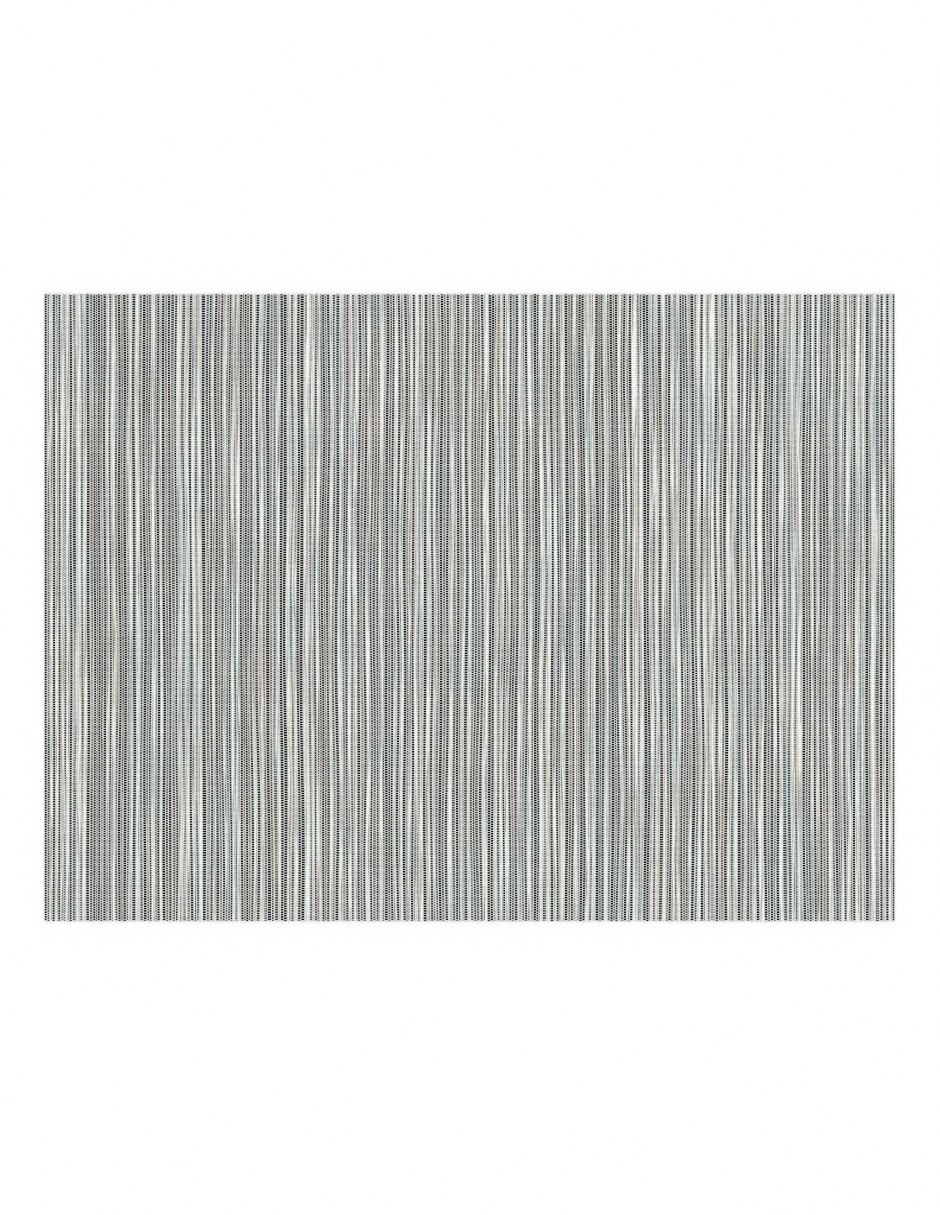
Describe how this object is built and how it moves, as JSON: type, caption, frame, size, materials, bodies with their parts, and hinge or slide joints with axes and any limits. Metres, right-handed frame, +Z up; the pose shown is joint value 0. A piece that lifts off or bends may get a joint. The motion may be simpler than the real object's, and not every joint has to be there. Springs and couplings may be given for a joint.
{
  "type": "vinyl placemat",
  "caption": "Flat oblong table mat of woven vinyl in streaked blacks, greys and whites, with fine ribs across its short way and raw-cut edges.",
  "frame": {"origin": "on the table under the middle of the mat", "axes": "+Z up out of the table, +X along the long side to the diner's right, +Y across the mat away from the diner, along the ribs"},
  "size_m": [0.483, 0.356, 0.0017],
  "materials": {
    "woven_vinyl": "matt",
    "binding_thread": "matt"
  },
  "bodies": {
    "root": {"woven_mat": "woven_vinyl"}
  },
  "joints": []
}
